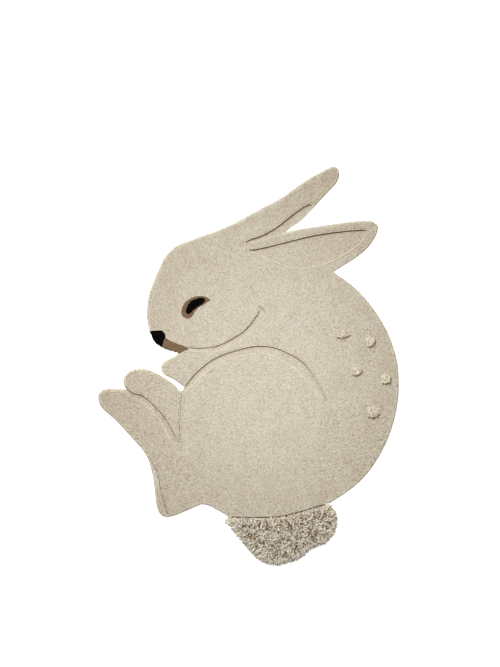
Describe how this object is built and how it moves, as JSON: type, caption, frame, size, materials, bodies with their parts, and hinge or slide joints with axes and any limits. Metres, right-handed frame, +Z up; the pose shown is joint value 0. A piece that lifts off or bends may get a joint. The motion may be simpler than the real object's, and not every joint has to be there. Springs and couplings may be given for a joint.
{
  "type": "rabbit shaped kids rug",
  "caption": "Flat tufted wool rug cut to the outline of a curled-up rabbit, with carved lines, a shaggy tail and raised tufts, to lie on a floor.",
  "frame": {"origin": "on the floor, under the middle of the rug's length and width", "axes": "+Z up off the floor, +Y along the rug's length towards the ears, +X towards the rabbit's back"},
  "size_m": [0.9002, 1.2017, 0.0289],
  "materials": {
    "cream_wool": "cut pile, matte",
    "shag_wool": "long shaggy pile, matte",
    "brown_wool": "cut pile, matte",
    "black_wool": "cut pile, matte"
  },
  "bodies": {
    "root": {"rug_body": "cream_wool", "nose_pile": "black_wool", "chin_pile": "brown_wool", "eye_rim_pile": "brown_wool", "eye_pile": "black_wool", "tail_shag": "shag_wool", "back_tuft_1": "cream_wool", "back_tuft_2": "cream_wool", "back_tuft_3": "cream_wool", "back_tuft_4": "cream_wool", "back_tuft_5": "cream_wool"}
  },
  "joints": []
}
